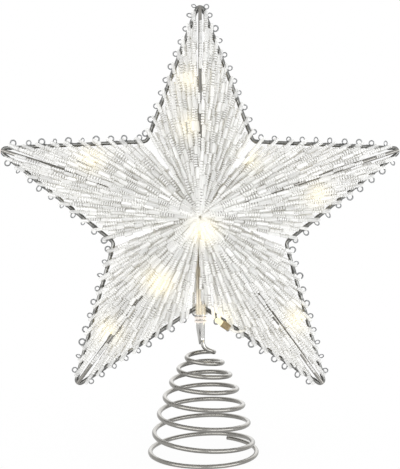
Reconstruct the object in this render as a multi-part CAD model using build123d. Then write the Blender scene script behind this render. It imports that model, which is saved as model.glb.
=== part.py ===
from build123d import *
import math
import os

os.makedirs("parts", exist_ok=True)

# A lit treetop star: a double-sided wire frame wound with clear bead strands, on a conical spring.
# Millimetres, +Z up. The star's front faces -Y, and the origin is on the ground under its centre.

# Star outline, on the centre line of its wire
point_count = 5
tip_radius = 122.4
notch_radius = 51.7
outline_wire_diameter = 2.2
tip_bend_radius = 2.0
notch_bend_radius = 3.5

# Frame wires and hubs, with the room left between pieces that are welded together
ridge_wire_diameter = 2.0
hub_diameter = 10.0
hub_thickness = 1.6
hub_depth = 24.0
strut_diameter = 2.4
weld_gap = 0.1

# Bead strands, wound from the outline to the hubs in a lower and an upper fan
strand_diameter = 2.5
strand_gap = 0.1
strand_rise = 6.0
first_strand_setback = 10.0

# Clear filament loops that stand outside the outline wire, one to a strand and two at the top tip
loop_diameter = 4.0
filament_diameter = 0.7
loop_gap = 0.05
tip_loop_setback = 4.0

# Treetop spring, whose base turn is ground flat
spring_wire_diameter = 2.6
coil_base_diameter = 62.2
coil_top_diameter = 13.0
coil_height = 57.4
base_turn_gap = 2.6
ground_flat = 0.5
climbing_turns = 6.0
settling_turns = 0.5
base_turns = 0.67
even_climb_share = 0.64
coil_bulge_share = 0.5
stem_bend_drop = 6.6
bare_stem_length = 20.3
stem_top_clearance = 8.0

# Leg of the frame, which stands beside the spring's stem
leg_wire_diameter = 2.0
stem_gap = 0.3
leg_bend_drop = 3.6
leg_foot_drop = 9.0
leg_end_shift = 1.5
leg_end_setback = 3.1

# Clear sleeve and bands that bind the stem, the leg and the feed wires
sleeve_wall = 0.4
sleeve_clearance = 0.3
sleeve_corner_radius = 1.2
sleeve_length = 6.0
sleeve_drop = 4.8
sleeve_gap = 1.2
band_clearance = 0.55
band_height = 1.3
band_gap = 0.8

# Lights: lens, holder and the wire between them
lens_diameter = 3.0
lens_length = 4.5
holder_diameter = 4.0
holder_length = 5.0
holder_tail_diameter = 3.4
holder_tail_length = 1.5
string_wire_diameter = 1.4
feed_wire_diameter = 1.4
wire_gap = 0.15
wire_run = 7.0
wire_fold = 8.0
wire_gather_radius = 36.0
feed_turn_drop = 14.0
centre_light_offset = 1.7
centre_light_drop = 7.5
centre_light_lead = 1.5
edge_light_setback = 15.5
edge_light_outset = 1.0
edge_light_gap = 1.8
edge_wire_run = 4.0
edge_wire_inset = 5.0
edge_wire_depth = 1.0

# Lights inside the star, in the order of their string: share of the tip radius to the right and
# upwards, and share of the depth of the strands there towards the front
light_shares = {
    "lower_left": (-0.18, -0.28, 0.45),
    "bottom_left_arm": (-0.40, -0.52, 0.45),
    "left_arm": (-0.488, 0.245, 0.45),
    "top_arm_inner": (-0.04, 0.39, 0.62),
    "top_arm_outer": (-0.04, 0.60, 0.35),
    "upper_right": (0.22, 0.24, 0.45),
    "right_arm": (0.52, 0.10, 0.45),
    "bottom_right_arm": (0.43, -0.47, 0.45),
}
sharp_turn_share = 0.17
bend_reach_share = 0.45

# Worked out from the sizes above
half_step = math.pi / point_count
outline_radius = outline_wire_diameter / 2
ridge_radius = ridge_wire_diameter / 2
hub_radius = hub_diameter / 2
strand_radius = strand_diameter / 2
loop_radius = loop_diameter / 2
filament_radius = filament_diameter / 2
spring_radius = spring_wire_diameter / 2
leg_radius = leg_wire_diameter / 2
wire_radius = string_wire_diameter / 2
feed_radius = feed_wire_diameter / 2
holder_radius = holder_diameter / 2

strand_apex_depth = hub_depth + strand_rise
notch_height = coil_height + stem_bend_drop + bare_stem_length
star_centre_height = notch_height + notch_radius
notch_reach = notch_radius * math.cos(half_step)
notch_half_width = notch_radius * math.sin(half_step)
tip_half_angle = math.atan2(notch_half_width, tip_radius - notch_reach)
edge_length = notch_half_width / math.sin(tip_half_angle)
front = -1
back = 1


def plane_point(radius, angle, depth):
    # A point of the star by its radius and angle about the centre, and its depth towards +Y
    return Vector(radius * math.cos(angle), depth, star_centre_height + radius * math.sin(angle))


def arm_angle(arm):
    return math.pi / 2 + 2 * half_step * arm


def rod(start, end, diameter):
    way = end - start
    return Solid.make_cylinder(diameter / 2, way.length, Plane(origin=start, z_dir=way))


def tube(path, diameter):
    section = Plane(origin=path @ 0, z_dir=path % 0) * Circle(diameter / 2)
    return sweep(section, path=path).solid()


def save(solids, node):
    shape = solids[0] if len(solids) == 1 else Compound(children=solids)
    export_step(shape, "parts/" + node + ".step")


# Outline wire: one wire bent round the star's ten corners
outline_corners = []
outline_bends = []
for arm in range(point_count):
    outline_corners.append(plane_point(tip_radius, arm_angle(arm), 0))
    outline_corners.append(plane_point(notch_radius, arm_angle(arm) + half_step, 0))
    outline_bends.extend([tip_bend_radius, notch_bend_radius])
outline_path = FilletPolyline(*outline_corners, radius=outline_bends, close=True).wire()
save([tube(outline_path, outline_wire_diameter)], "outline_wire")

# Hub discs at both apexes, the strut between them and the ridge wires out to the tips
side_names = {front: "front", back: "back"}
for side in (front, back):
    hub_plane = Plane(origin=plane_point(0, 0, side * (hub_depth - hub_thickness / 2)), z_dir=(0, side, 0))
    save([Solid.make_cylinder(hub_radius, hub_thickness, hub_plane)], side_names[side] + "_hub")
strut_half_length = hub_depth - hub_thickness / 2
strut_start = plane_point(0, 0, -strut_half_length)
strut_end = plane_point(0, 0, strut_half_length)
save([rod(strut_start, strut_end, strut_diameter)], "centre_strut")

bend_setback = tip_bend_radius / math.sin(tip_half_angle) - tip_bend_radius
ridge_outer_radius = tip_radius - bend_setback
ridge_outer_depth = outline_radius + weld_gap + ridge_radius
ridge_inner_radius = hub_radius + weld_gap + ridge_radius * ridge_radius / hub_radius
arm_names = ["top", "left", "bottom_left", "bottom_right", "right"]
for side in (front, back):
    for arm, name in enumerate(arm_names):
        inner = plane_point(ridge_inner_radius, arm_angle(arm), side * hub_depth)
        outer = plane_point(ridge_outer_radius, arm_angle(arm), side * ridge_outer_depth)
        save([rod(inner, outer, ridge_wire_diameter)], side_names[side] + "_ridge_wire_" + name)

# Places of the strands along one edge of the outline, from the tip to the notch
loop_reach = outline_radius + loop_gap + loop_radius
valley_angle = half_step + tip_half_angle
last_strand_setback = (loop_radius + loop_gap + loop_reach * math.cos(valley_angle)) / math.sin(valley_angle)
strand_span = edge_length - first_strand_setback - last_strand_setback
least_pitch = (strand_diameter + strand_gap) / math.sin(tip_half_angle)
strand_count = int(strand_span / least_pitch) + 1
strand_pitch = strand_span / (strand_count - 1)
slot_angle = half_step / strand_count
slot_total = 2 * strand_count * point_count
strand_edge_depth = outline_radius + strand_gap + strand_radius
upper_apex_depth = strand_apex_depth + 2 * strand_diameter


def edge_place(arm, turn, setback, outward):
    # A point beside an edge of the outline, by its distance from the tip and from the wire
    tip = plane_point(tip_radius, arm_angle(arm), 0)
    notch = plane_point(notch_radius, arm_angle(arm) + turn * half_step, 0)
    along = (notch - tip).normalized()
    outside = Vector(turn * along.Z, 0, -turn * along.X)
    return tip + along * setback + outside * outward


def strand_ends(side, arm, turn, place):
    # Neighbours take turns in the lower and upper fan, and every other one of a fan ends early
    start = edge_place(arm, turn, first_strand_setback + place * strand_pitch, 0)
    slot = 2 * strand_count * arm + strand_count + (place if turn > 0 else -1 - place)
    group = slot // 2
    long_groups = slot_total // 4 * 2
    gap_slots = 4 if group % 2 == 0 and group < long_groups else 2
    end_radius = (strand_diameter + strand_gap) / (2 * math.sin(gap_slots * slot_angle / 2))
    apex_depth = strand_apex_depth if slot % 2 == 0 else upper_apex_depth
    start_radius = math.hypot(start.X, start.Z - star_centre_height)
    end_depth = apex_depth + (strand_edge_depth - apex_depth) * end_radius / start_radius
    end_angle = arm_angle(arm) + turn * (place + 1 / 2) * slot_angle
    outer = Vector(start.X, side * strand_edge_depth, start.Z)
    return outer, plane_point(end_radius, end_angle, side * end_depth)


def loop(arm, turn, setback):
    loop_plane = Plane(origin=edge_place(arm, turn, setback, loop_reach), z_dir=(0, 1, 0))
    return Solid.make_torus(loop_radius - filament_radius, filament_radius, loop_plane)


# The front strands beside the lowest notch are left out, where the stem and feed wires go in
lowest_arms = {("bottom_left", 1), ("bottom_right", -1)}
for arm, name in enumerate(arm_names):
    fans = {front: [], back: []}
    loops = []
    for turn in (-1, 1):
        for place in range(strand_count):
            stem_way = (name, turn) in lowest_arms and place == strand_count - 1
            fans[back].append(rod(*strand_ends(back, arm, turn, place), strand_diameter))
            if not stem_way:
                fans[front].append(rod(*strand_ends(front, arm, turn, place), strand_diameter))
            loops.append(loop(arm, turn, first_strand_setback + place * strand_pitch))
        if name == "top":
            loops.append(loop(arm, turn, tip_loop_setback))
    save(fans[front], "front_strands_" + name)
    save(fans[back], "back_strands_" + name)
    save(loops, "edge_loops_" + name)

# Places of the stem and the leg, side by side in front of the outline wire's lowest notch
stem_x = stem_gap / 2 + spring_radius
stem_y = -(outline_radius + stem_gap + sleeve_wall + sleeve_clearance + spring_radius)
sleeve_bottom = notch_height - sleeve_drop
upper_band_bottom = sleeve_bottom - sleeve_gap - band_height
lower_band_bottom = upper_band_bottom - band_gap - band_height
leg_bend_height = lower_band_bottom - leg_bend_drop
leg_end_height = leg_bend_height - leg_foot_drop
leg_x = -stem_gap / 2 - leg_radius
leg_y = stem_y + spring_radius - leg_radius
stem_top_height = star_centre_height - stem_top_clearance

# Treetop spring: stem, then a conical coil that widens downwards and settles on a flat base turn
base_height = spring_radius - ground_flat
settle_height = base_height + spring_wire_diameter + base_turn_gap
climb = coil_height - settle_height
settle_slope = -climb * (2 - even_climb_share) / climbing_turns
total_turns = climbing_turns + settling_turns + base_turns


def coil_height_at(turns):
    if turns < climbing_turns:
        part = turns / climbing_turns
        return coil_height - climb * (even_climb_share * part + (1 - even_climb_share) * part * part)
    if turns < climbing_turns + settling_turns:
        part = (turns - climbing_turns) / settling_turns
        blend = part * part * (3 - 2 * part)
        ease = settle_slope * settling_turns * part * (1 - part) * (1 - part)
        return settle_height + (base_height - settle_height) * blend + ease
    return base_height


def coil_point(turns):
    part = turns / total_turns
    widening = part + coil_bulge_share * part * (1 - part)
    radius = (coil_top_diameter + (coil_base_diameter - coil_top_diameter) * widening) / 2
    angle = 2 * math.pi * turns
    return Vector(stem_x + radius * math.cos(angle), radius * math.sin(angle), coil_height_at(turns))


def coil_way(turns):
    small_turn = 1e-4
    return (coil_point(turns + small_turn) - coil_point(turns - small_turn)).normalized()


def biarc(start, start_way, end, end_way):
    # Two arcs that meet smoothly, from one point and direction to another
    chord = end - start
    slack = 2 * (1 - start_way.dot(end_way))
    pull = chord.dot(start_way + end_way)
    reach = (math.sqrt(pull * pull + slack * chord.dot(chord)) - pull) / slack
    first_corner = start + start_way * reach
    second_corner = end - end_way * reach
    middle = (first_corner + second_corner) / 2
    middle_way = (second_corner - first_corner).normalized()
    return [TangentArc(start, middle, tangent=start_way), TangentArc(middle, end, tangent=middle_way)]


stem_top = Vector(stem_x, stem_y, stem_top_height)
stem_end = Vector(stem_x, stem_y, coil_height + stem_bend_drop)
down = Vector(0, 0, -1)
spring_edges = [Line(stem_top, stem_end)]
spring_edges.extend(biarc(stem_end, down, coil_point(0), coil_way(0)))
quarter_count = int(4 * total_turns)
stops = [quarter / 4 for quarter in range(quarter_count + 1)]
if total_turns - stops[-1] > 1e-6:
    stops.append(total_turns)
for before, after in zip(stops, stops[1:]):
    spring_edges.extend(biarc(coil_point(before), coil_way(before), coil_point(after), coil_way(after)))
spring_path = Wire([edge.edge() for edge in spring_edges])
spring_wire = tube(spring_path, spring_wire_diameter)
ground_size = 2 * coil_base_diameter
ground_block = Pos(0, 0, -ground_size / 2) * Box(ground_size, ground_size, ground_size)
save([(spring_wire - ground_block).solid()], "tree_spring")

# Least gap of the spring to itself, between points that lie over half a turn apart
samples_per_turn = 48
spots = [coil_point(i / samples_per_turn) for i in range(int(total_turns * samples_per_turn) + 1)]
stem_spots = [stem_top + (stem_end - stem_top) * (i / samples_per_turn) for i in range(samples_per_turn + 1)]
least_distance = min(
    (one - other).length
    for i, one in enumerate(spots)
    for other in spots[i + samples_per_turn // 2:] + stem_spots * (i > samples_per_turn // 2)
)
print("least gap of the spring to itself", round(least_distance - spring_wire_diameter, 2))
print("spring bends", round(min(edge.edge().radius for edge in spring_edges[1:]), 2))

# Leg of the frame, from under the strut down past the notch, its foot bent in behind the stem
leg_top = Vector(leg_x, leg_y, star_centre_height - strut_diameter / 2 - weld_gap)
leg_bend = Vector(leg_x, leg_y, leg_bend_height)
leg_end = Vector(leg_x + leg_end_shift, leg_y + leg_end_setback, leg_end_height)
leg_path = FilletPolyline(leg_top, leg_bend, leg_end, radius=leg_foot_drop).wire()
save([tube(leg_path, leg_wire_diameter)], "frame_leg")

# Sleeve and bands have like sections round the stem, the leg and the two feed wires
feed_y = leg_y - leg_radius - wire_gap - feed_radius


def wrap(bottom, height, clearance):
    left = leg_x - leg_radius - clearance
    right = stem_x + spring_radius + clearance
    near = feed_y - feed_radius - wire_gap
    far = stem_y + spring_radius + clearance
    hollow = RectangleRounded(right - left, far - near, sleeve_corner_radius)
    outer = RectangleRounded(right - left + 2 * sleeve_wall, far - near + 2 * sleeve_wall,
                             sleeve_corner_radius + sleeve_wall)
    return extrude(Pos((left + right) / 2, (near + far) / 2, bottom) * (outer - hollow), amount=height).solid()


save([wrap(lower_band_bottom, band_height, band_clearance)], "lower_stem_band")
save([wrap(upper_band_bottom, band_height, band_clearance)], "upper_stem_band")
save([wrap(sleeve_bottom, sleeve_length, sleeve_clearance)], "stem_sleeve")


# Lights: each has a domed lens on a holder, whose tail takes the wires
def outline_reach(angle):
    # Distance from the centre to the outline in a given direction
    turned = math.remainder(angle - math.pi / 2, 2 * half_step)
    return tip_radius * math.sin(tip_half_angle) / math.sin(tip_half_angle + abs(turned))


def light(name, seat, way):
    axis_plane = Plane(origin=seat, z_dir=way)
    dome_height = lens_length - lens_diameter / 2
    lens_profile = make_face([
        Line((0, 0), (lens_diameter / 2, 0)),
        Line((lens_diameter / 2, 0), (lens_diameter / 2, dome_height)),
        TangentArc((lens_diameter / 2, dome_height), (0, lens_length), tangent=(0, 1)),
        Line((0, lens_length), (0, 0)),
    ])
    holder_profile = make_face(Polyline(
        (0, 0), (holder_radius, 0), (holder_radius, holder_tail_length - holder_length),
        (holder_tail_diameter / 2, -holder_length), (0, -holder_length), close=True))
    for profile, piece in ((lens_profile, "lens"), (holder_profile, "holder")):
        solid = revolve(Plane.XZ * profile, axis=Axis.Z).solid()
        save([axis_plane * solid], "light_" + piece + "_" + name)


def wire_ports(seat, way, across):
    # Where the incoming and the outgoing wire meet the holder's tail, and the way they go in
    tail = seat - way * (holder_length + wire_gap)
    offset = across * (wire_radius + wire_gap)
    return (tail - offset, way), (tail + offset, way)


def wire_path(route):
    # Straight runs joined by arcs as large as the shorter run at each corner allows
    bends = []
    for before, corner, after in zip(route, route[1:], route[2:]):
        half_turn = math.radians((corner - before).get_angle(after - corner)) / 2
        shorter_run = min((corner - before).length, (after - corner).length)
        bends.append(bend_reach_share * shorter_run / math.tan(half_turn))
    print("wire bends", [round(bend, 1) for bend in bends])
    return FilletPolyline(*route, radius=bends).wire()


def gather_run(port, way):
    # Wires between two arms first run in towards the centre, clear of the notches
    reach = way.X * port.X + way.Z * (port.Z - star_centre_height)
    return max(wire_run, reach - wire_gather_radius)


def string_span(leaving, arriving):
    # From one holder's tail to the next, folded back behind a light where the turn is sharp
    start, start_way = leaving
    end, end_way = arriving
    same_arm = start_way.dot(end_way) > math.cos(half_step)
    start_turn = start - start_way * (wire_run if same_arm else gather_run(start, start_way))
    end_turn = end - end_way * (wire_run if same_arm else gather_run(end, end_way))
    across = (end_turn - start_turn).normalized()
    backwards = Vector(0, wire_fold, 0)
    route = [start, start_turn]
    if across.dot(start_way) > sharp_turn_share:
        route.append(start_turn + backwards)
    if across.dot(end_way) < -sharp_turn_share:
        route.append(end_turn + backwards)
    route.extend([end_turn, end])
    return tube(wire_path(route), string_wire_diameter)


# The light in the middle stands between the hub and the ends of the strands
centre_seat = Vector(centre_light_offset, centre_light_lead - hub_depth, star_centre_height - centre_light_drop)
light("centre", centre_seat, Vector(0, front, 0))
ports = [wire_ports(centre_seat, Vector(0, front, 0), Vector(0, 0, 1))]
for name, (x_share, z_share, depth_share) in light_shares.items():
    x = x_share * tip_radius
    z = z_share * tip_radius
    angle = math.atan2(z, x)
    spread = 1 - math.hypot(x, z) / outline_reach(angle)
    depth = strand_edge_depth + (strand_apex_depth - strand_edge_depth) * spread
    seat = Vector(x, front * depth_share * depth, star_centre_height + z)
    way = Vector(math.cos(angle), 0, math.sin(angle))
    light(name, seat, way)
    ports.append(wire_ports(seat, way, Vector(-way.Z, 0, way.X)))
spans = [string_span(leaving, arriving) for (_, leaving), (arriving, _) in zip(ports, ports[1:])]

# The last light lies in front of the strands on the outline, beside the lowest notch
edge_arm = arm_names.index("bottom_right")
edge_depth = front * (strand_edge_depth + strand_radius + edge_light_gap + holder_radius)
edge_seat = edge_place(edge_arm, -1, edge_length - edge_light_setback, edge_light_outset)
edge_seat += Vector(0, edge_depth, 0)
edge_way = (edge_place(edge_arm, -1, edge_length, 0) - edge_place(edge_arm, -1, 0, 0)).normalized()
light("lower_edge", edge_seat, edge_way)

# Its wire goes in between two strands, three and four places from the one beside the notch
edge_tail = edge_seat - edge_way * (holder_length + wire_gap)
way_in = Vector(0, 0, 0)
for places_off in (3, 4):
    outer, inner = strand_ends(front, edge_arm, -1, strand_count - 1 - places_off)
    way_in += (outer + (inner - outer).normalized() * edge_wire_inset) / 2
way_in = Vector(way_in.X, 0, way_in.Z)
last_start, last_way = ports[-1][1]
edge_route = [
    last_start,
    last_start - last_way * wire_run,
    way_in + Vector(0, front * edge_wire_depth, 0),
    way_in + Vector(0, edge_depth, 0),
    edge_tail - edge_way * edge_wire_run,
    edge_tail,
]
spans.append(tube(wire_path(edge_route), string_wire_diameter))
save(spans, "light_string_wire")

# Two feed cores come up the sleeve in front of the leg, to the light in the middle
first_port, first_way = ports[0][0]
feed_step = feed_wire_diameter + wire_gap
feed_cores = []
for core in range(2):
    core_x = leg_x - leg_radius + feed_radius + core * feed_step
    core_end = first_port - Vector(0, 0, core * feed_step)
    feed_cores.append(tube(wire_path([
        Vector(core_x, feed_y, sleeve_bottom),
        Vector(core_x, feed_y, star_centre_height - feed_turn_drop),
        core_end - first_way * wire_run,
        core_end,
    ]), feed_wire_diameter))
save(feed_cores, "light_feed_wire")

print("strands on an edge", strand_count, "pitch", round(strand_pitch, 2))
print("stem", round(stem_x, 3), round(stem_y, 3), "bands meet at", round(upper_band_bottom - band_gap / 2, 3))
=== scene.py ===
import bmesh
import bpy
import math
import numpy as np
import random
from mathutils import Matrix, Vector


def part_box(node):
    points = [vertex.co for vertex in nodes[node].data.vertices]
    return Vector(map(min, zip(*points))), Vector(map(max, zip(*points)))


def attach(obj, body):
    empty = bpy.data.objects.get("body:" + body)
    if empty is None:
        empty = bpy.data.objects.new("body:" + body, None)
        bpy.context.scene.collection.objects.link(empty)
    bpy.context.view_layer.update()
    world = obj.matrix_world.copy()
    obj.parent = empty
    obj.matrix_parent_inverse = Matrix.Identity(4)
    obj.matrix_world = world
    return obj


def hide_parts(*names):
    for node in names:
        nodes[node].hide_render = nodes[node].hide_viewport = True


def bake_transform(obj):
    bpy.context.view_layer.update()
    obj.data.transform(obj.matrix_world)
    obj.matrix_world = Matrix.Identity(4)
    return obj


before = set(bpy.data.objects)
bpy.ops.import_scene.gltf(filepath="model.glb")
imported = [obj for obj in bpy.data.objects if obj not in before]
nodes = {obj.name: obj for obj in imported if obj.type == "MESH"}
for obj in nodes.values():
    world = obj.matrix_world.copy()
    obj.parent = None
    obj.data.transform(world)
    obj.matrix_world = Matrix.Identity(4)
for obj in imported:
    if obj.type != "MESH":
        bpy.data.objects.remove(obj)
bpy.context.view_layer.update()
mergeDistance = 1e-6
print("frame loaded,", len(nodes), "nodes")

# Camera and studio, metres throughout
studio = {
    "frameHeight": 0.2683,        # what the picture's long side spans at the star
    "distance": 0.55,
    "eyeHeight": 0.160,
    "aimHeight": 0.1246,
    "sensor": 36.0,
    "clip": (0.01, 50.0),
    "skyFill": 0.80,
    "floorSize": 12.0,
    "floorPaint": (0.93, 0.93, 0.93, 1),
    "floorShadow": 0.05,          # how much of the floor's own shading shows near the coil
    "shadowReach": (0.06, 0.22),
}

camData = bpy.data.cameras.new("viewCamera")
camData.sensor_width = studio["sensor"]
camData.lens = studio["sensor"] * studio["distance"] / studio["frameHeight"]
camData.clip_start, camData.clip_end = studio["clip"]
viewCamera = bpy.data.objects.new("viewCamera", camData)
viewCamera.location = (0, -studio["distance"], studio["eyeHeight"])
viewCamera.rotation_euler = (math.pi / 2, 0, 0)
camData.shift_y = (studio["aimHeight"] - studio["eyeHeight"]) / studio["frameHeight"]
bpy.context.scene.collection.objects.link(viewCamera)
bpy.context.scene.camera = viewCamera
bpy.context.scene.view_settings.view_transform = "Standard"

# Wide, soft lamps, so that the wire's ends don't burn out
studioLamps = {
    "keyLamp": {"place": (-0.60, -0.90, 0.20), "target": (0, 0, 0.12), "size": (1.30, 0.38),
                "watts": 5.8, "tint": (1.0, 0.995, 0.985)},
    "fillLamp": {"place": (0.75, -0.75, 0.18), "target": (0, 0, 0.10), "size": (1.30, 0.34),
                 "watts": 5.4, "tint": (0.98, 0.99, 1.0)},
    "rimLamp": {"place": (0.25, 0.95, 0.56), "target": (0, 0, 0.13), "size": (1.60, 0.90),
                "watts": 4.2, "tint": (1.0, 1.0, 1.0)},
}


def areaLamp(name, place, target, size, watts, tint):
    data = bpy.data.lights.new(name, "AREA")
    data.shape = "RECTANGLE"
    data.size, data.size_y = size
    data.energy = watts
    data.color = tint
    lamp = bpy.data.objects.new(name, data)
    lamp.location = place
    lamp.rotation_euler = (Vector(target) - Vector(place)).to_track_quat("-Z", "Y").to_euler()
    bpy.context.scene.collection.objects.link(lamp)


for name, settings in studioLamps.items():
    areaLamp(name, **settings)


def link(tree, start, end):
    tree.links.new(start, end)


def lightPathPick(tree):
    # 1 for rays that show the background as it is: to the camera, in metal or through clear plastic
    path = tree.nodes.new("ShaderNodeLightPath")
    pick = path.outputs["Is Camera Ray"]
    for kind in ("Is Glossy Ray", "Is Transmission Ray"):
        either = tree.nodes.new("ShaderNodeMath")
        either.operation = "MAXIMUM"
        link(tree, pick, either.inputs[0])
        link(tree, path.outputs[kind], either.inputs[1])
        pick = either.outputs[0]
    return pick


def buildWorld():
    world = bpy.data.worlds.new("whiteStudio")
    world.use_nodes = True
    tree = world.node_tree
    tree.nodes.clear()
    fill = tree.nodes.new("ShaderNodeBackground")
    fill.inputs["Color"].default_value = (1, 1, 1, 1)
    fill.inputs["Strength"].default_value = studio["skyFill"]
    seen = tree.nodes.new("ShaderNodeBackground")
    seen.inputs["Color"].default_value = (1, 1, 1, 1)
    seen.inputs["Strength"].default_value = 1.0
    mix = tree.nodes.new("ShaderNodeMixShader")
    out = tree.nodes.new("ShaderNodeOutputWorld")
    link(tree, lightPathPick(tree), mix.inputs[0])
    link(tree, fill.outputs[0], mix.inputs[1])
    link(tree, seen.outputs[0], mix.inputs[2])
    link(tree, mix.outputs[0], out.inputs["Surface"])
    bpy.context.scene.world = world


def buildFloor():
    bm = bmesh.new()
    bmesh.ops.create_grid(bm, x_segments=2, y_segments=2, size=studio["floorSize"] / 2)
    mesh = bpy.data.meshes.new("studioFloor")
    bm.to_mesh(mesh)
    bm.free()
    floor = bpy.data.objects.new("studioFloor", mesh)
    bpy.context.scene.collection.objects.link(floor)
    material = bpy.data.materials.new("paleFloor")
    material.use_nodes = True
    tree = material.node_tree
    tree.nodes.clear()
    paint = tree.nodes.new("ShaderNodeBsdfDiffuse")
    paint.inputs["Color"].default_value = studio["floorPaint"]
    white = tree.nodes.new("ShaderNodeEmission")
    white.inputs["Strength"].default_value = 1.0
    coords = tree.nodes.new("ShaderNodeTexCoord")
    away = tree.nodes.new("ShaderNodeVectorMath")
    away.operation = "LENGTH"
    reach = tree.nodes.new("ShaderNodeMapRange")
    reach.inputs["From Min"].default_value = studio["shadowReach"][0]
    reach.inputs["From Max"].default_value = studio["shadowReach"][1]
    reach.inputs["To Min"].default_value = 1 - studio["floorShadow"]
    reach.inputs["To Max"].default_value = 1.0
    share = tree.nodes.new("ShaderNodeMath")
    share.operation = "MULTIPLY"
    mix = tree.nodes.new("ShaderNodeMixShader")
    out = tree.nodes.new("ShaderNodeOutputMaterial")
    link(tree, coords.outputs["Object"], away.inputs[0])
    link(tree, away.outputs["Value"], reach.inputs["Value"])
    link(tree, reach.outputs[0], share.inputs[0])
    link(tree, lightPathPick(tree), share.inputs[1])
    link(tree, share.outputs[0], mix.inputs[0])
    link(tree, paint.outputs[0], mix.inputs[1])
    link(tree, white.outputs[0], mix.inputs[2])
    link(tree, mix.outputs[0], out.inputs["Surface"])
    mesh.materials.append(material)


buildWorld()
buildFloor()
print("camera and studio set")


# Material helpers
def startMaterial(name, **fixed):
    material = bpy.data.materials.new(name)
    material.use_nodes = True
    tree = material.node_tree
    shader = tree.nodes["Principled BSDF"]
    for socket, value in fixed.items():
        shader.inputs[socket.replace("_", " ")].default_value = value
    return material, tree, shader


def noise(tree, scale, detail):
    coords = tree.nodes.new("ShaderNodeTexCoord")
    texture = tree.nodes.new("ShaderNodeTexNoise")
    texture.inputs["Scale"].default_value = scale
    texture.inputs["Detail"].default_value = detail
    link(tree, coords.outputs["Object"], texture.inputs["Vector"])
    return texture.outputs["Fac"]


def spread(tree, value, low, high):
    ranged = tree.nodes.new("ShaderNodeMapRange")
    ranged.inputs["To Min"].default_value = low
    ranged.inputs["To Max"].default_value = high
    link(tree, value, ranged.inputs["Value"])
    return ranged.outputs[0]


def twoTone(tree, value, first, second):
    # Either colour may be a fixed one or another node's
    mix = tree.nodes.new("ShaderNodeMix")
    mix.data_type = "RGBA"
    for socket, colour in ((mix.inputs[6], first), (mix.inputs[7], second)):
        if isinstance(colour, tuple):
            socket.default_value = (*colour, 1)
        else:
            link(tree, colour, socket)
    link(tree, value, mix.inputs[0])
    return mix.outputs[2]


def bump(tree, height, shader, depth, strength):
    node = tree.nodes.new("ShaderNodeBump")
    node.inputs["Distance"].default_value = depth
    node.inputs["Strength"].default_value = strength
    link(tree, height, node.inputs["Height"])
    link(tree, node.outputs["Normal"], shader.inputs["Normal"])


def attribute(tree, name):
    node = tree.nodes.new("ShaderNodeAttribute")
    node.attribute_name = name
    return node.outputs["Fac"]


# Plated wire: noise scales are per metre, each with its detail
plating = {"blotch": (90.0, 4.0), "polish": (900.0, 2.0), "pits": (1200.0, 2.0),
           "pitDepth": 0.00002, "pitStrength": 0.06}


def plateSurface(tree, shader, rough):
    polish = spread(tree, noise(tree, *plating["polish"]), *rough)
    link(tree, polish, shader.inputs["Roughness"])
    bump(tree, noise(tree, *plating["pits"]), shader, plating["pitDepth"], plating["pitStrength"])


def platedWire(name, dark, light, rough):
    material, tree, shader = startMaterial(name, Metallic=1.0)
    blotch = noise(tree, *plating["blotch"])
    link(tree, twoTone(tree, blotch, dark, light), shader.inputs["Base Color"])
    plateSurface(tree, shader, rough)
    return material


def springWire(name, coilTones, paintedLightStemTones, rough, fade):
    # Painted highlight: the stem and the leg above the coil are painted lighter than the coil's wire
    material, tree, shader = startMaterial(name, Metallic=1.0)
    blotch = noise(tree, *plating["blotch"])
    height = tree.nodes.new("ShaderNodeSeparateXYZ")
    link(tree, tree.nodes.new("ShaderNodeTexCoord").outputs["Object"], height.inputs[0])
    paintedLightUpStem = tree.nodes.new("ShaderNodeMapRange")
    paintedLightUpStem.inputs["From Min"].default_value, paintedLightUpStem.inputs["From Max"].default_value = fade
    link(tree, height.outputs["Z"], paintedLightUpStem.inputs["Value"])
    coilTone = twoTone(tree, blotch, *coilTones)
    paintedLightStemTone = twoTone(tree, blotch, *paintedLightStemTones)
    link(tree, twoTone(tree, paintedLightUpStem.outputs[0], coilTone, paintedLightStemTone), shader.inputs["Base Color"])
    plateSurface(tree, shader, rough)
    return material


# Clear beads, with painted light: a warm tint and emission are painted in where a light is near, and
# every bead has a faint painted emission that lifts its shade
beadFinish = {"ior": 1.55, "coat": 0.5, "litTone": (1.0, 0.95, 0.79), "glowTint": (1.0, 0.90, 0.64, 1),
              "glowStrength": (0.05, 0.25), "polish": (700.0, 2.0), "ripple": (1500.0, 2.0),
              "rippleDepth": 0.0001, "rippleStrength": 0.2}


def clearBead(name, dark, light, rough, solid):
    material, tree, shader = startMaterial(name, IOR=beadFinish["ior"], Alpha=solid,
                                           Coat_Weight=beadFinish["coat"])
    plain = twoTone(tree, attribute(tree, "tone"), dark, light)
    # Painted light: the painted lamp glow warms the base colour and drives the emission
    lit = attribute(tree, "glow")
    link(tree, twoTone(tree, lit, plain, beadFinish["litTone"]), shader.inputs["Base Color"])
    shader.inputs["Emission Color"].default_value = beadFinish["glowTint"]
    paintedShine = spread(tree, lit, *beadFinish["glowStrength"])
    link(tree, paintedShine, shader.inputs["Emission Strength"])
    polish = spread(tree, noise(tree, *beadFinish["polish"]), *rough)
    link(tree, polish, shader.inputs["Roughness"])
    bump(tree, noise(tree, *beadFinish["ripple"]), shader, beadFinish["rippleDepth"],
         beadFinish["rippleStrength"])
    return material


# Sleeve, bands, filament, holders and insulation
plasticFinish = {"ior": 1.47, "toneDetail": 3.0, "fineDetail": 2.0, "polishGrain": 3, "rippleGrain": 2,
                 "rippleDepth": 0.0001, "rippleStrength": 0.2}


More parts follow.
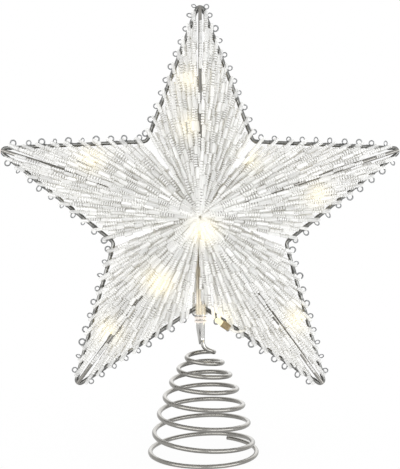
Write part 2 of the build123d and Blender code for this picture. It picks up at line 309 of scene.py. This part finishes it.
def clearPlastic(name, dark, light, rough, grain, transmission=0.0, solid=1.0):
    material, tree, shader = startMaterial(name, IOR=plasticFinish["ior"], Alpha=solid,
                                           Transmission_Weight=transmission)
    fine = plasticFinish["fineDetail"]
    tone = noise(tree, grain, plasticFinish["toneDetail"])
    link(tree, twoTone(tree, tone, dark, light), shader.inputs["Base Color"])
    polish = spread(tree, noise(tree, plasticFinish["polishGrain"] * grain, fine), *rough)
    link(tree, polish, shader.inputs["Roughness"])
    ripple = noise(tree, plasticFinish["rippleGrain"] * grain, fine)
    bump(tree, ripple, shader, plasticFinish["rippleDepth"], plasticFinish["rippleStrength"])
    return material


# Warm lens that gives its own light
lensFinish = {"ior": 1.5, "rough": 0.12, "core": (260.0, 2.0),
              "body": ((0.30, 0.27, 0.14), (0.36, 0.33, 0.20)),
              "light": ((1.0, 0.90, 0.50), (1.0, 0.95, 0.66)),
              "strength": (0.65, 0.95)}


def litLens(name):
    material, tree, shader = startMaterial(name, IOR=lensFinish["ior"], Roughness=lensFinish["rough"])
    core = noise(tree, *lensFinish["core"])
    link(tree, twoTone(tree, core, *lensFinish["body"]), shader.inputs["Base Color"])
    link(tree, twoTone(tree, core, *lensFinish["light"]), shader.inputs["Emission Color"])
    link(tree, spread(tree, core, *lensFinish["strength"]), shader.inputs["Emission Strength"])
    return material


frameMetal = platedWire("frameWire", dark=(0.08, 0.08, 0.075), light=(0.30, 0.30, 0.29),
                        rough=(0.20, 0.34))
# The stem tones are a painted highlight on the stem and the leg
springMetal = springWire("springWire", coilTones=((0.21, 0.205, 0.19), (0.32, 0.31, 0.29)),
                         paintedLightStemTones=((0.40, 0.395, 0.38), (0.60, 0.595, 0.58)),
                         rough=(0.18, 0.26), fade=(0.058, 0.066))
ridgeMetal = platedWire("ridgeWire", dark=(0.13, 0.125, 0.11), light=(0.42, 0.41, 0.39),
                        rough=(0.16, 0.28))
knotWire = platedWire("knotWire", dark=(0.05, 0.05, 0.05), light=(0.22, 0.22, 0.21),
                      rough=(0.22, 0.36))
hubMetal = platedWire("hubDisc", dark=(0.34, 0.34, 0.33), light=(0.56, 0.56, 0.55),
                      rough=(0.26, 0.42))
beadClear = clearBead("clearBead", dark=(0.67, 0.675, 0.68), light=(0.865, 0.87, 0.87),
                      rough=(0.05, 0.16), solid=0.60)
# Ribbed beads: the dark colour is painted shade in the grooves between the ribs
beadRibbed = clearBead("ribbedBead", dark=(0.16, 0.16, 0.16), light=(0.88, 0.885, 0.885),
                       rough=(0.10, 0.24), solid=0.68)
loopFilament = clearPlastic("loopFilament", dark=(0.15, 0.155, 0.155), light=(0.40, 0.41, 0.42),
                            rough=(0.08, 0.2), grain=400.0, transmission=0.2)
sleeveAmber = clearPlastic("sleeveAmber", dark=(0.74, 0.65, 0.48), light=(0.88, 0.81, 0.66),
                           rough=(0.10, 0.24), grain=220.0, solid=0.24)
bandPale = clearPlastic("bandPale", dark=(0.82, 0.73, 0.66), light=(0.92, 0.86, 0.80),
                        rough=(0.12, 0.28), grain=220.0, solid=0.42)
holderAmber = clearPlastic("holderAmber", dark=(0.08, 0.05, 0.015), light=(0.52, 0.41, 0.22),
                           rough=(0.16, 0.32), grain=300.0, transmission=0.2)
wireClear = clearPlastic("wireClear", dark=(0.82, 0.79, 0.72), light=(0.94, 0.92, 0.87),
                         rough=(0.12, 0.26), grain=260.0, transmission=0.2, solid=0.55)
feedPale = clearPlastic("feedPale", dark=(0.80, 0.72, 0.58), light=(0.92, 0.86, 0.74),
                        rough=(0.14, 0.3), grain=260.0, transmission=0.3)
lensLit = litLens("litLens")


# Nodes that are shown as they come, in their finish
wearTable = {
    "outline_wire": frameMetal, "centre_strut": frameMetal,
    "front_hub": hubMetal, "back_hub": hubMetal,
    "stem_sleeve": sleeveAmber, "lower_stem_band": bandPale, "upper_stem_band": bandPale,
    "light_string_wire": wireClear, "light_feed_wire": feedPale,
}
wearGroups = {"ridge_wire": ridgeMetal, "light_lens": lensLit, "light_holder": holderAmber}


def wear(node, material):
    data = nodes[node].data
    data.materials.clear()
    data.materials.append(material)


for node in nodes:
    if node in wearTable:
        wear(node, wearTable[node])
    for words, material in wearGroups.items():
        if words in node:
            wear(node, material)
print("materials made and carried nodes dressed")


# Star layout, as the frame has it
star = {
    "arms": ["top", "left", "bottom_left", "bottom_right", "right"],
    "tipRadius": 0.1224,
    "notchRadius": 0.0517,
    "centreHeight": 0.136,
    "firstSetback": 0.010,
    "pitch": 0.00795,
    "places": 10,
    "edgeDepth": 0.00245,
    "apexDepths": (0.0290, 0.0318),
    "fillerDepths": (0.0235, 0.0262),
    "wireRadius": 0.0011,
    "ridgeRadius": 0.1105,
    "ridgeDepth": 0.0048,
}
halfStep = math.pi / len(star["arms"])
front, back = -1, 1


def planePoint(radius, angle, depth):
    return Vector((radius * math.cos(angle), depth, star["centreHeight"] + radius * math.sin(angle)))


def armAngle(arm):
    return math.pi / 2 + 2 * halfStep * arm


def edgePlace(arm, turn, setback, outward):
    tip = planePoint(star["tipRadius"], armAngle(arm), 0)
    notch = planePoint(star["notchRadius"], armAngle(arm) + turn * halfStep, 0)
    along = (notch - tip).normalized()
    outside = Vector((turn * along.z, 0, -turn * along.x))
    return tip + along * setback + outside * outward


# Painted lamp glow: how strongly each light's glow is painted into the beads near it
glow = {
    "reach": 0.0068,
    "depthShare": 0.5,
    "backShare": 0.4,
    "shares": {"centre": 0.8, "lower_left": 1.3, "lower_edge": 0.7, "bottom_right_arm": 0.55,
               "left_arm": 0.58, "upper_right": 0.38},
    "otherShare": 0.5,
}


def lensCentres():
    centres = {}
    for node in sorted(nodes):
        if node.startswith("light_lens_"):
            low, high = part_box(node)
            centres[node.replace("light_lens_", "")] = (low + high) / 2
    return centres


def paintGlow(mesh, share):
    # Painted light: beads near a light get its warm glow painted in, as a vertex attribute
    count = len(mesh.vertices)
    places = np.zeros(count * 3, np.float32)
    mesh.vertices.foreach_get("co", places)
    places = places.reshape(-1, 3)
    total = np.zeros(count)
    for name, spot in lensCentres().items():
        away = places - np.array(spot)
        away[:, 1] *= glow["depthShare"]
        strength = glow["shares"].get(name, glow["otherShare"])
        total += strength * np.exp(-(away ** 2).sum(1) / glow["reach"] ** 2)
    layer = mesh.attributes.new("glow", "FLOAT", "POINT")
    layer.data.foreach_set("value", np.minimum(total * share, 1.0).astype(np.float32))


# Shared by the pieces below
def spinRound(bm, verts, edges, steps):
    # A full turn about Z, closed and facing outwards
    known = set(bm.verts)
    bmesh.ops.spin(bm, geom=verts + edges, cent=(0, 0, 0), axis=(0, 0, 1), angle=2 * math.pi,
                   steps=steps, use_merge=True)
    made = verts + [v for v in bm.verts if v not in known]
    bmesh.ops.remove_doubles(bm, verts=made, dist=mergeDistance)
    made = [v for v in made if v.is_valid]
    bmesh.ops.recalc_face_normals(bm, faces=list({f for v in made for f in v.link_faces}))
    return made


def copyShape(bm, verts, matrix, layer, tone, lowTone, material):
    # The template's own tone runs from lowTone to the tone of this copy
    faces = list({f for v in verts for f in v.link_faces})
    made = bmesh.ops.duplicate(bm, geom=list(verts) + faces)["geom"]
    fresh = [g for g in made if isinstance(g, bmesh.types.BMVert)]
    bmesh.ops.transform(bm, matrix=matrix, verts=fresh)
    for vert in fresh:
        vert[layer] = lowTone + (tone - lowTone) * vert[layer]
    for item in made:
        if isinstance(item, bmesh.types.BMFace):
            item.material_index = material


def alongMatrix(place, way, roll, scale):
    turn = way.to_track_quat("Z", "Y").to_matrix().to_4x4()
    spun = turn @ Matrix.Rotation(roll, 4, "Z")
    return Matrix.Translation(place) @ spun @ Matrix.Diagonal((*scale, 1))


def addPiece(name, bm, materials):
    mesh = bpy.data.meshes.new(name)
    bm.to_mesh(mesh)
    bm.free()
    for material in materials:
        mesh.materials.append(material)
    piece = bpy.data.objects.new(name, mesh)
    bpy.context.scene.collection.objects.link(piece)
    return piece


# Bead strands: long clear beads and ribbed ones in turn, from over the outline wire to the apex
strands = {
    "beadLength": 0.0068, "beadRadius": 0.00118, "beadSides": 6,
    "beadEnd": 0.62, "beadRound": 0.5,              # shares of the bead's radius
    "bodyShare": 0.8, "endTone": 0.65,              # inside this share of the radius, an end's tone
    "ribCount": 5, "ribPitch": 0.00142, "ribRadius": 0.00112, "ribNeck": 0.00060, "ribSides": 7,
    "ribProfile": (0.1, 0.35, 0.75),                # neck, crest's start and end, shares of the pitch
    "ribTone": 0.8, "ribToneSpread": 0.2,
    # Painted shade in the ribbed beads' grooves: some necks are painted dark, their share given per arm
    # and larger on the upper arms, the rest at the pale neck tone
    "paleNeck": 0.70,
    "darkRibs": {"top": 0.42, "left": 0.26, "bottom_left": 0.12, "bottom_right": 0.10, "right": 0.36},
    "beadFirst": 0.6,                               # chance that a filler starts with a long bead
    "brightness": (0.25, 0.75), "toneSpread": (-0.45, 0.55),
    "shortest": 0.0016,
    "overhang": 0.0034,
    "fillerSetback": 0.0035,
    "innerRadius": (0.0004, 0.0022),
    "fillerRadius": (0.0070, 0.0140),
    "waver": 0.0006, "depthWaver": 0.4,
    "slew": 0.055,
    "girthSpread": 0.18,
    "lengthSpread": 0.25,
    "ridgeSlim": 0.78,
    "ridgeSkip": {"top": 0.42, "left": 0.30, "bottom_left": 0.16, "bottom_right": 0.14, "right": 0.36},
    "valleyTurns": {"bottom_left": 1, "bottom_right": -1},
    "valley": {"bottom_left": [(8.5, 0.0)], "bottom_right": [(8.5, 0.0), (9.0, 0.13), (9.4, 0.12)]},
    "seed": 41,
}
ribLength = strands["ribCount"] * strands["ribPitch"]


def spunShape(bm, outline, sides):
    # An outline of radius and height pairs, turned about the strand's line
    profile = [bm.verts.new((radius, 0, height)) for radius, height in outline]
    edges = [bm.edges.new(pair) for pair in zip(profile, profile[1:])]
    return spinRound(bm, profile, edges, sides)


def oneBead(bm, layer):
    half, radius = strands["beadLength"] / 2, strands["beadRadius"]
    outline = [(0, -half), (strands["beadEnd"] * radius, -half),
               (radius, -half + strands["beadRound"] * radius)]
    made = spunShape(bm, outline + [(r, -h) for r, h in reversed(outline)], strands["beadSides"])
    for vert in made:
        onBody = math.hypot(vert.co.x, vert.co.y) > strands["bodyShare"] * radius
        vert[layer] = 1.0 if onBody else strands["endTone"]
    return made


def oneRibbed(bm, layer):
    pitch, neck, crest = strands["ribPitch"], strands["ribNeck"], strands["ribRadius"]
    neckAt, crestStart, crestEnd = strands["ribProfile"]
    outline = [(0, -ribLength / 2)]
    for rib in range(strands["ribCount"]):
        low = -ribLength / 2 + rib * pitch
        outline.extend([(neck, low + neckAt * pitch), (crest, low + crestStart * pitch),
                        (crest, low + crestEnd * pitch)])
    outline.extend([(neck, ribLength / 2), (0, ribLength / 2)])
    made = spunShape(bm, outline, strands["ribSides"])
    for vert in made:
        onCrest = math.hypot(vert.co.x, vert.co.y) > (neck + crest) / 2
        # Painted shade: neck vertices get a low tone, which the ribbed bead material paints dark
        vert[layer] = 1.0 if onCrest else 0.0
    return made


def strandLine(side, arm, turn, place, filler, rng):
    setback = star["firstSetback"] + place * star["pitch"]
    start = edgePlace(arm, turn, setback, 0)
    outer = Vector((start.x, side * star["edgeDepth"], start.z))
    slot = 2 * star["places"] * arm + star["places"] + int(place if turn > 0 else -1 - place)
    apex = star["fillerDepths" if filler else "apexDepths"][slot % 2]
    radius = rng.uniform(*strands["fillerRadius" if filler else "innerRadius"])
    reach = math.hypot(start.x, start.z - star["centreHeight"])
    depth = apex + (star["edgeDepth"] - apex) * radius / reach
    angle = armAngle(arm) + turn * (place + 0.5) * halfStep / star["places"]
    inner = planePoint(radius, angle, side * depth)
    way = (inner - outer).normalized()
    return outer + way * (strands["fillerSetback"] if filler else -strands["overhang"]), inner


def stringBeads(kit, outer, inner, overWire=False, skip=0.0, slim=1.0):
    # Long and ribbed beads in turn, each a little off the strand's line
    rng = kit["rng"]
    way = (inner - outer).normalized()
    length = (inner - outer).length
    done = 0.0
    isBead = overWire or rng.random() < strands["beadFirst"]
    bright = rng.uniform(*strands["brightness"])
    while True:
        stretch = 1 + rng.uniform(-strands["lengthSpread"], strands["lengthSpread"])
        plain = strands["beadLength"] if isBead else ribLength
        size = plain * stretch
        if done + size > length:
            size = length - done
            stretch = size / plain
        if size < strands["shortest"]:
            break
        sway = Vector((rng.uniform(-1, 1), rng.uniform(-strands["depthWaver"], strands["depthWaver"]),
                       rng.uniform(-1, 1)))
        sway -= way * sway.dot(way)
        slew = Vector((rng.uniform(-1, 1), 0, rng.uniform(-1, 1))) * strands["slew"]
        lean = (way + slew).normalized()
        middle = outer + way * (done + size / 2) + sway * strands["waver"]
        girth = slim * (1 + rng.uniform(-strands["girthSpread"], strands["girthSpread"]))
        matrix = alongMatrix(middle, lean, rng.uniform(0, 2 * math.pi), (girth, girth, stretch))
        tone = min(1.0, max(0.0, bright + rng.uniform(*strands["toneSpread"])))
        # Painted shade in the grooves: dark necks on a share of ribbed beads, the rest at the pale neck
        # tone
        lowTone = 0.0 if isBead or rng.random() < kit["darkRibs"] else strands["paleNeck"]
        if not isBead:
            tone = strands["ribTone"] + strands["ribToneSpread"] * tone
        if rng.random() >= skip:
            kind = 0 if isBead else 1
            copyShape(kit["bm"], kit["shapes"][kind], matrix, kit["layer"], tone, lowTone, kind)
        done += size
        isBead = not isBead


def buildStrands(side, arm):
    rng = random.Random(strands["seed"] + 10 * arm + side)
    name = star["arms"][arm]
    bm = bmesh.new()
    layer = bm.verts.layers.float.new("tone")
    shapes = (oneBead(bm, layer), oneRibbed(bm, layer))
    templates = list(shapes[0]) + list(shapes[1])
    kit = {"bm": bm, "layer": layer, "shapes": shapes, "rng": rng, "darkRibs": strands["darkRibs"][name]}
    valleyTurn = strands["valleyTurns"].get(name)
    for turn in (-1, 1):
        lowest = turn == valleyTurn
        for place in range(star["places"]):
            byStem = side == front and lowest and place == star["places"] - 1
            if not byStem:
                stringBeads(kit, *strandLine(side, arm, turn, place, False, rng), overWire=True)
            if place < star["places"] - (2 if lowest else 1):
                stringBeads(kit, *strandLine(side, arm, turn, place + 0.5, True, rng))
    if side == front and name in strands["valley"]:
        for place, startShare in strands["valley"][name]:
            outer, inner = strandLine(side, arm, valleyTurn, place, False, rng)
            stringBeads(kit, outer.lerp(inner, startShare), inner)
    ridgeOuter = planePoint(star["ridgeRadius"], armAngle(arm), side * star["ridgeDepth"])
    ridgeInner = planePoint(strands["innerRadius"][1], armAngle(arm), side * star["apexDepths"][0])
    stringBeads(kit, ridgeOuter, ridgeInner, skip=strands["ridgeSkip"][name], slim=strands["ridgeSlim"])
    bmesh.ops.delete(bm, geom=templates, context="VERTS")
    pieceName = ("front" if side == front else "back") + "_bead_strands_" + name
    piece = addPiece(pieceName, bm, (beadClear, beadRibbed))
    paintGlow(piece.data, 1.0 if side == front else glow["backShare"])
    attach(piece, "star")
    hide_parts(("front" if side == front else "back") + "_strands_" + name)
    return len(piece.data.polygons)


total = sum(buildStrands(side, arm) for side in (front, back) for arm in range(len(star["arms"])))
print("bead strands made,", total, "faces")

# Filament loops: small eyelets outside the outline wire, with a dark twist of filament beside each
loops = {
    "radius": 0.00152, "filament": 0.00041, "steps": 12, "sides": 4,
    "standOff": 0.00130, "tipSetback": 0.004, "placeSpread": 0.0006,
    "tilt": 0.85, "sizeSpread": 0.15,
    "knotGirth": 1.25, "knotLength": (0.22, 0.40), "knotSlip": (0.0018, 0.0030),
    "seed": 7,
}


def oneLoop(bm):
    ring = bmesh.ops.create_circle(bm, segments=loops["sides"], radius=loops["filament"])["verts"]
    bmesh.ops.rotate(bm, verts=ring, cent=(0, 0, 0), matrix=Matrix.Rotation(math.pi / 2, 3, "X"))
    bmesh.ops.translate(bm, verts=ring, vec=(loops["radius"], 0, 0))
    edges = list({e for v in ring for e in v.link_edges})
    return spinRound(bm, ring, edges, loops["steps"])


def buildLoops(arm):
    rng = random.Random(loops["seed"] + arm)
    name = star["arms"][arm]
    bm = bmesh.new()
    layer = bm.verts.layers.float.new("tone")
    ring = oneLoop(bm)
    twist = oneRibbed(bm, layer)
    templates = list(ring) + list(twist)
    for turn in (-1, 1):
        setbacks = [star["firstSetback"] + place * star["pitch"] for place in range(star["places"])]
        if name == "top":
            setbacks.append(loops["tipSetback"])
        for setback in setbacks:
            setback += rng.uniform(-loops["placeSpread"], loops["placeSpread"])
            seat = edgePlace(arm, turn, setback, 0)
            outside = (edgePlace(arm, turn, setback, 1) - seat).normalized()
            size = 1 + rng.uniform(-loops["sizeSpread"], loops["sizeSpread"])
            lean = rng.uniform(-loops["tilt"], loops["tilt"])
            facing = Vector((math.sin(lean) * outside.z, math.cos(lean), -math.sin(lean) * outside.x))
            middle = seat + outside * (star["wireRadius"] + loops["standOff"] * size)
            copyShape(bm, ring, alongMatrix(middle, facing, 0, (size, size, 1)), layer, 1.0, 0.0, 0)
            along = Vector((0, 1, 0)).cross(outside)
            slip = rng.choice((-1, 1)) * rng.uniform(*loops["knotSlip"])
            knotSize = (loops["knotGirth"], loops["knotGirth"], rng.uniform(*loops["knotLength"]))
            knot = alongMatrix(seat + along * slip, along, 0, knotSize)
            copyShape(bm, twist, knot, layer, 1.0, 0.0, 1)
    bmesh.ops.delete(bm, geom=templates, context="VERTS")
    piece = addPiece("filament_loops_" + name, bm, (loopFilament, knotWire))
    piece.data.shade_smooth()
    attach(piece, "star")
    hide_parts("edge_loops_" + name)


for arm in range(len(star["arms"])):
    buildLoops(arm)
print("filament loops made")

# Treetop spring and the leg bound to it, cut across into stretches at the coil's top and at the bands,
# with rings added up the stretches above the coil
spring = {
    "coilFoot": 0.002,
    "coilTop": 0.060,
    "bandHeight": 0.0766,
    "bendEnd": 0.098,
    "stepHeight": 0.002,
    "sharpAngle": 40,
    "stem": (0.00145, -0.0034),
}


def cutAcross(bm, height, **cleared):
    geom = list(bm.verts) + list(bm.edges) + list(bm.faces)
    bmesh.ops.bisect_plane(bm, geom=geom, plane_co=(0, 0, height), plane_no=(0, 0, 1), **cleared)


def wireStretch(node, name, low, high):
    bm = bmesh.new()
    bm.from_mesh(nodes[node].data)
    bmesh.ops.remove_doubles(bm, verts=bm.verts, dist=mergeDistance)
    if low is not None:
        cutAcross(bm, low, clear_inner=True)
    if high is not None:
        cutAcross(bm, high, clear_outer=True)
    bmesh.ops.edgeloop_fill(bm, edges=[e for e in bm.edges if e.is_boundary])
    bmesh.ops.recalc_face_normals(bm, faces=bm.faces)
    if low is not None:
        height = low + spring["stepHeight"]
        while height < (high or spring["bendEnd"]) - mergeDistance:
            cutAcross(bm, height)
            height += spring["stepHeight"]
    piece = addPiece(name, bm, (springMetal,))
    piece.data.shade_smooth()
    piece.data.set_sharp_from_angle(angle=math.radians(spring["sharpAngle"]))
    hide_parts(node)
    return piece


coil = wireStretch("tree_spring", "spring_coil", None, spring["coilTop"])
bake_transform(coil)
for node, slot, name in (("tree_spring", "spring_wire", "spring_stem"),
                         ("frame_leg", "frame_wire", "leg_wire")):
    lowerWire = wireStretch(node, name + "_lower", spring["coilTop"], spring["bandHeight"])
    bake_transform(lowerWire)
    upperWire = wireStretch(node, name + "_upper", spring["bandHeight"], None)
    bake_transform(upperWire)
print("spring and leg made")

# Small warm lamps at the lights, so that the beads round them are lit
warm = {"watts": 0.0023, "size": 0.004, "tint": (1.0, 0.88, 0.62)}
for number, spot in enumerate(lensCentres().values()):
    data = bpy.data.lights.new("warmLamp%d" % number, "POINT")
    data.energy = warm["watts"]
    data.shadow_soft_size = warm["size"]
    data.color = warm["tint"]
    lamp = bpy.data.objects.new("warmLamp%d" % number, data)
    lamp.location = spot
    bpy.context.scene.collection.objects.link(lamp)
    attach(lamp, "star")
print("lights lit")
